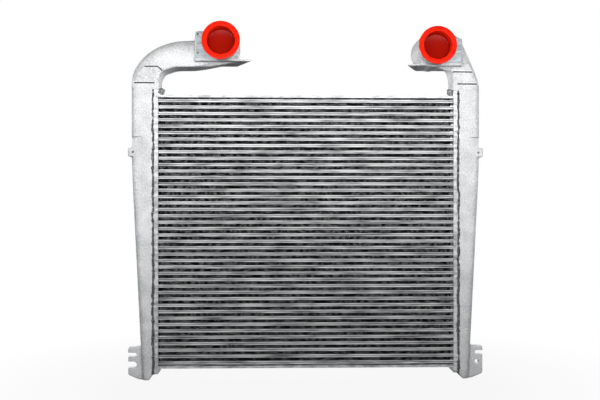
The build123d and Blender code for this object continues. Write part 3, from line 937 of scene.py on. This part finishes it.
@dataclass
class WeldSeam:
    """Bead that joins a header pan to its tank, all the way round."""

    side: Side
    material: bpy.types.Material
    lump_material: bpy.types.Material
    seam_out: float = 437.8
    depth: float = 70.0
    bottom: float = 18.0
    top: float = 830.3
    corner: float = 3.0
    step: float = 1.4  # distance from one section of the bead to the next
    width: float = 5.4
    foot_gain: float = 0.5  # share by which the bead is wider at its foot than at its top
    height: float = 2.0
    sink: float = 1.5  # how deep its underside lies in the metal
    ripple_mm: float = 5.5
    ripple_swell: float = 0.35
    slow_swell: float = 0.22
    ripple_stray: float = 0.25
    slow_reach: int = 9  # sections that swell together
    drift_reach: int = 25  # sections that drift together
    lump: tuple[float, float, float] = (414.5, 14.0, 825.0)  # distance out, Y and height of the stop weld
    lump_radius: float = 9.5
    lump_waves: tuple[float, float] = (0.16, 0.1)
    lump_steps: tuple[int, int] = (19, 28)
    seed: int = 7

    def stop_weld(self) -> Shell:
        """Lump that closes the corner between the hood, the header pan and the core.

        A ball whose radius swells with the product of one wave round it and one from pole to pole, and with a
        third wave of both angles together.
        """
        rows, around = self.lump_steps
        polar = np.linspace(0.02, math.pi - 0.02, rows)[:, None]
        turn = np.arange(around)[None] / around * 2 * math.pi
        first, second = self.lump_waves
        swell = 1 + first * np.sin(3 * turn) * np.sin(2 * polar) + second * np.cos(5 * polar + turn)
        radius = self.lump_radius * swell
        out, y, height = self.lump
        across = self.side.value * out + radius * np.sin(polar) * np.cos(turn)
        deep = y + radius * np.sin(polar) * np.sin(turn)
        return rings_to_shell(stack_rings(across, deep, height + radius * np.cos(polar)), (1, 1))

    def build(self) -> None:
        """Carry a flat half-round along the seam, and swell and shift it with the ripples of hand welding.

        The seam is a rounded rectangle in Y and Z. At each place on it the bead's width and height are their
        mean, times one plus a saw of the ripple length and slow random waves. The last point of a section lies
        under its middle, in the metal.
        """
        rng = np.random.default_rng(self.seed + self.side.value)
        half_y, half_z, tall = self.depth / 2, (self.top - self.bottom) / 2, self.top - self.bottom
        signs = ((1, 1), (-1, 1), (-1, -1), (1, -1))
        outline = rounded_outline([(a * half_y, b * half_z, self.corner) for a, b in signs], 5)
        closed = np.concatenate([outline, outline[:1]])
        length = np.concatenate([[0], np.cumsum(np.linalg.norm(np.diff(closed, axis=0), axis=1))])
        count = int(length[-1] / self.step)
        along = np.arange(count) / count * length[-1]
        y, z = (np.interp(along, length, closed[:, axis]) for axis in (0, 1))
        tangent = np.stack([np.roll(y, -1) - np.roll(y, 1), np.roll(z, -1) - np.roll(z, 1)], axis=-1)
        tangent /= np.linalg.norm(tangent, axis=1, keepdims=True)
        normal = np.stack([tangent[:, 1], -tangent[:, 0]], axis=-1)
        outward = np.sign(np.sum(normal * np.stack([y, z], axis=-1), axis=1))[:, None] * normal
        slow = slow_noise(rng, count, self.slow_reach) / 2
        ripple = (along / self.ripple_mm + self.ripple_stray * slow) % 1
        swell = 1 + self.ripple_swell * (0.5 - ripple) + self.slow_swell * slow
        drift = slow_noise(rng, count, self.drift_reach)[:, None] / 4
        angle = np.linspace(0, math.pi, 9)
        broad = swell * (1 + self.foot_gain * (0.5 - z / tall))
        across = self.width / 2 * np.cos(angle)[None] * broad[:, None] + drift
        lift = self.height * np.sin(angle)[None] * swell[:, None]
        across = np.concatenate([across, drift], axis=1)
        lift = np.concatenate([lift, np.full((count, 1), -self.sink)], axis=1)
        bead_y = CORE_Y + y[:, None] + outward[:, :1] * lift
        bead_z = (self.top + self.bottom) / 2 + z[:, None] + outward[:, 1:] * lift
        bead = closed_loop_shell(stack_rings(self.side.value * (self.seam_out + across), bead_y, bead_z))
        mesh = make_mesh(f"{self.side.title}_weld_seam", [bead, self.stop_weld()])
        finish_piece(mesh, [self.material, self.lump_material], "cast_aluminium")


@dataclass
class NeckPlugs:
    """Moulded cups that close the two necks for transport."""

    material: bpy.types.Material
    necks: list[tuple[float, float]]  # X and height of each axis
    flange_radius: float = 53.0
    flange: float = 3.0
    mouth_radius: float = 40.2
    wall: float = 2.0
    depth: float = 32.0
    seat: float = 126.0
    ease: float = 3.0  # radius of the mouth's edge and size of the floor's chamfer
    dome: float = 0.2  # how far the floor's middle is pushed back
    tip: float = 0.01  # radius of a ring that stands for a point on the axis

    def cup(self, x: float, height: float) -> Shell:
        """Revolve the cup's outline, with a rolled lip, an eased mouth and a floor that is domed a little."""
        seat, face, ease = CORE_Y - self.seat, CORE_Y - self.seat - self.flange, self.ease
        floor = seat + self.depth
        lip = np.linspace(-math.pi / 2, math.pi / 2, 9)
        profile = [(floor + self.dome, self.tip), (floor + self.dome / 2, 20.0), (floor, self.mouth_radius - ease)]
        profile += [(floor - ease, self.mouth_radius), (seat, self.mouth_radius)]
        rolled = self.flange / 2
        lip_y = seat - rolled - rolled * np.sin(lip)
        profile += [(y, self.flange_radius - rolled + rolled * math.cos(a)) for y, a in zip(lip_y, lip)]
        inner, top = self.mouth_radius - self.wall, floor - self.wall
        quarter = np.linspace(0, math.pi / 2, 5)
        profile += [(face + ease - ease * math.cos(a), inner + ease - ease * math.sin(a)) for a in quarter]
        profile += [(top - 4, inner - 0.4), (top - 1, inner - 2.2), (top, inner - 6), (top + self.dome, self.tip)]
        return revolved(x, height, profile, 128)

    def build(self) -> None:
        """Make both cups as one piece."""
        mesh = make_mesh("red_neck_plugs", [self.cup(x, height) for x, height in self.necks])
        finish_piece(mesh, [self.material], "red_plug", "neck_plugs")


@dataclass(frozen=True)
class Softbox:
    """Soft rectangular lamp that faces a point over the middle of the core's base, sizes in millimetres."""

    name: str
    place: tuple[float, float, float]
    aim: float  # height of the point that it faces
    size: tuple[float, float]  # width and height
    power: float  # in watts

    def build(self) -> None:
        """Hang the lamp, out of the camera's sight."""
        data = bpy.data.lights.new(self.name, "AREA")
        data.shape = "RECTANGLE"
        data.size = self.size[0] * MM
        data.size_y = self.size[1] * MM
        data.energy = self.power
        lamp = add_object(self.name, data)
        lamp.location = Vector(self.place) * MM
        direction = Vector((0, CORE_Y * MM, self.aim * MM)) - lamp.location
        lamp.rotation_euler = direction.to_track_quat("-Z", "Y").to_euler()
        lamp.visible_camera = False


@dataclass
class Studio:
    """White floor and background, soft lamps and the camera at the photograph's place."""

    eye: tuple[float, float, float] = (-88.2, -2419.5, 515.0)
    turn_right: float = 1.64  # degrees from +Y towards +X
    focal_px: float = 847.0
    picture_px: float = 600.0
    white: str = "#FFFFFF"
    fill: float = 0.015
    floor_tone: str = "#3C3C3C"
    floor_half: float = 12000.0
    floor_levels: tuple[float, float] = (-20.0, -0.5)
    shadow_m: tuple[float, float] = (0.5, 1.1)  # distances, in metres, over which the shadow's share fades out
    shadow_white: float = 0.92  # share of plain white that the floor shows near the cooler
    lamps: tuple[Softbox, ...] = (
        Softbox("key_softbox", (0, -1050, 900), 900, (2000, 80), 22),
        Softbox("back_softbox", (0, 1700, 930), 930, (2000, 80), 34),
        Softbox("left_softbox", (-1700, 800, 950), 700, (800, 500), 8),
        Softbox("right_softbox", (1700, 800, 950), 700, (800, 500), 8),
        Softbox("top_softbox", (0, 600, 2300), 900, (1600, 400), 3),
    )

    def camera(self) -> None:
        """Place the camera."""
        data = bpy.data.cameras.new("camera")
        data.sensor_width = 36.0
        data.lens = self.focal_px * data.sensor_width / self.picture_px
        camera = add_object("camera", data)
        camera.location = Vector(self.eye) * MM
        camera.rotation_euler = (math.radians(90), 0, -math.radians(self.turn_right))
        bpy.context.scene.camera = camera

    def seen_directly(self, tree: bpy.types.NodeTree) -> bpy.types.NodeSocket:
        """1 for rays from the camera, a mirror or glass, and 0 for the rays that carry light."""
        path = add_node(tree, "ShaderNodeLightPath")
        seen = path.outputs["Is Camera Ray"]
        for ray in ("Is Glossy Ray", "Is Transmission Ray"):
            either = add_node(tree, "ShaderNodeMath", {0: seen, 1: path.outputs[ray]}, operation="MAXIMUM")
            seen = either.outputs[0]
        return seen

    def world(self) -> None:
        """White where it is seen, and a weak even light elsewhere."""
        world = bpy.data.worlds.new("studio")
        world.use_nodes = True
        bpy.context.scene.world = world
        tree = world.node_tree
        tree.nodes.clear()
        dim = add_node(tree, "ShaderNodeBackground", {"Color": linear(self.white), "Strength": self.fill})
        plain = add_node(tree, "ShaderNodeBackground", {"Color": linear(self.white), "Strength": 1.0})
        shares = {0: self.seen_directly(tree), 1: dim.outputs[0], 2: plain.outputs[0]}
        mix = add_node(tree, "ShaderNodeMixShader", shares)
        add_node(tree, "ShaderNodeOutputWorld", {"Surface": mix.outputs[0]})

    def floor(self) -> None:
        """A wide floor that is plain white where it is seen, with a share of its shaded tone near the cooler."""
        half, (near, far) = self.floor_half, self.shadow_m
        outline = np.array([(-half, -half), (half, -half), (half, half), (-half, half)])
        mesh = make_mesh("floor", [prism(outline, 2, *self.floor_levels)])
        material, tree, shader = new_material("matt_white_floor")
        set_inputs(tree, shader, {"Base Color": linear(self.floor_tone), "Roughness": 0.9})
        glow = add_node(tree, "ShaderNodeEmission", {"Color": linear(self.white), "Strength": 1.0})
        place = add_node(tree, "ShaderNodeTexCoord").outputs["Object"]
        away = add_node(tree, "ShaderNodeVectorMath", {0: place}, operation="LENGTH").outputs["Value"]
        span = {"From Min": near, "From Max": far, "To Min": self.shadow_white, "To Max": 1.0}
        fade = add_node(tree, "ShaderNodeMapRange", {"Value": away, **span}).outputs[0]
        weight = add_node(tree, "ShaderNodeMath", {0: self.seen_directly(tree), 1: fade}, operation="MULTIPLY")
        shares = {0: weight.outputs[0], 1: shader.outputs[0], 2: glow.outputs[0]}
        mix = add_node(tree, "ShaderNodeMixShader", shares)
        output = next(node for node in tree.nodes if node.type == "OUTPUT_MATERIAL")
        set_inputs(tree, output, {"Surface": mix.outputs[0]})
        mesh.materials.append(material)
        floor = add_object("floor", mesh)

    def build(self) -> None:
        """Set up the whole studio."""
        self.camera()
        self.world()
        self.floor()
        for lamp in self.lamps:
            lamp.build()
        bpy.context.scene.view_settings.view_transform = "Standard"


def left_tank(finishes: tuple[bpy.types.Material, ...]) -> EndTank:
    """Sizes of the left end tank."""
    return EndTank(
        side=Side.LEFT,
        finishes=finishes,
        neck=(239.5, 955.0),
        body_radius=47.5,
        pad=(77.5, 47.5),
        shelf=(81.0, 39.0),
        elbow=[
            Station(461.0, 846.8, 0, 80.0, 72.0, 14.0),
            Station(459.5, 866.0, 10, 78.5, 80.0, 24.0),
            Station(436.5, 905.0, 45, 72.0, 88.0, 36.0),
            Station(386.0, 930.0, 88, 79.0, 90.0, 44.5),
            Station(318.0, 936.0, 84, 82.0, 90.0, 44.5),
            Station(239.5, 955.0, 78, 90.0, 90.0, 42.0),
        ],
        slots=[(71.0, 12.0, 24.5), (43.0, 18.0, 24.5)],
        lug_hole=None,
        pad_holes=[27.5, -25.0],
        pad_rise=38.0,
        ribs=[],
        web=[
            WebRow((330, 893, 7), (324, 906, 5)),
            WebRow((298, 894, 7), (298, 911, -6)),
            WebRow((272, 896, 7), (272, 913, -18)),
            WebRow((200, 908, 7), (200, 914, -18)),
        ],
        split_lines=[(28, [(434, 849), (492, 849)]), (33, [(461, 895), (424, 895), (411, 883)])],
    )


def right_tank(finishes: tuple[bpy.types.Material, ...]) -> EndTank:
    """Sizes of the right end tank."""
    return EndTank(
        side=Side.RIGHT,
        finishes=finishes,
        neck=(361.0, 944.5),
        body_radius=50.0,
        pad=(83.0, 26.0),
        shelf=(73.0, 36.0),
        elbow=[
            Station(460.5, 846.8, 0, 79.0, 72.0, 14.0),
            Station(455.5, 872.0, 12, 71.0, 78.0, 22.0),
            Station(447.0, 900.0, 26, 66.0, 84.0, 30.0),
            Station(434.0, 927.0, 44, 74.0, 88.0, 36.0),
            Station(420.0, 944.0, 60, 95.0, 90.0, 41.0),
            Station(361.0, 953.0, 90, 102.0, 90.0, 40.0),
        ],
        slots=[(74.0, 11.5, 23.0)],
        lug_hole=47.5,
        pad_holes=[],
        ribs=[-4.0, -15.8],
        web=[
            WebRow((481, 882, 3), (466, 906, -4)),
            WebRow((430, 882, 3), (430, 905, -5)),
            WebRow((405, 886, 7), (405, 903, -12)),
            WebRow((360, 897, 7), (360, 902, -18)),
        ],
        split_lines=[(28, [(434, 849), (492, 849)]), (30, [(420, 883), (477, 883)])],
    )


def dress_sheets(frame: dict, material: bpy.types.Material) -> None:
    """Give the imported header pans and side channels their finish."""
    for name in ("left_header", "right_header", "bottom_side_channel", "top_side_channel"):
        node = frame["nodes"][name]
        for slot in node.material_slots:
            slot.material = material
        LOG.info("%s: packed mesh, dressed", name)


def main() -> None:
    """Build the cooler's looks in order."""
    logging.basicConfig(level=logging.INFO, format="%(name)s: %(message)s")
    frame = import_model()
    casting = BlastedCasting().build()
    milled = BrazedSheet("milled_cast_aluminium", bright="#AEB6BB", dull="#7C8489", line_mm=1.4).build()
    sheet = BrazedSheet("brazed_header_sheet", bright="#CFD0D1", dull="#808284", along=2).build()
    haze = (70.0, 26.0, 8.0)  # long patches, as the flux ran along the tubes
    tube = BrazedSheet("brazed_tube_aluminium", bright="#F0F1F1", dull="#88898B", haze_mm=haze).build()
    # painted shade: the bar in the recess between a tube's sheets is drawn darker than the tube
    bar = BrazedSheet("painted_shade_closing_bar", bright="#A0A2A4", dull="#343537", haze_mm=haze).build()
    # painted shade: the fin sheets are near black, for the shade deep between their folds
    fin = BrazedSheet("painted_shade_fin_sheet", bright="#141415", dull="#060606", metallic=0.0, specular=0.0).build()
    # painted shade: the fins' cut front edges are mottled from near black to pale grey
    edge = BrazedSheet(
        "painted_shade_fin_edge",
        bright="#B4B6B8",
        dull="#161617",
        contrast=(0.7, 0.86),
        haze_mm=(8.0, 8.0, 9.0),
        metallic=0.0,
        specular=0.0,
    ).build()
    # the bead's dark tone is partly soot and partly painted shade along the seam
    weld = WeldMetal().build()
    # painted shade: the stop weld in the corner between hood, header pan and core is drawn dark grey
    lump = WeldMetal("painted_shade_weld_stop", contrast=(0.36, 0.6), bright="#9C9EA0", soot_and_shade="#4A4B4D").build()
    plug = MouldedPlug().build()
    groove_shade = WeldMetal("painted_groove_shade", bright="#3C3D3E", soot_and_shade="#161617").build()  # painted shade that darkens the grooves of the parting lines
    finishes = (casting, milled, groove_shade)
    tanks = [left_tank(finishes), right_tank(finishes)]
    for tank in tanks:
        tank.build()
        WeldSeam(tank.side, weld, lump).build()
    FinnedCore(tube, fin, edge, bar).build()
    NeckPlugs(plug, [(tank.place(tank.neck[0]), tank.neck[1]) for tank in tanks]).build()
    dress_sheets(frame, sheet)
    Studio().build()


if __name__ == "__main__":
    main()
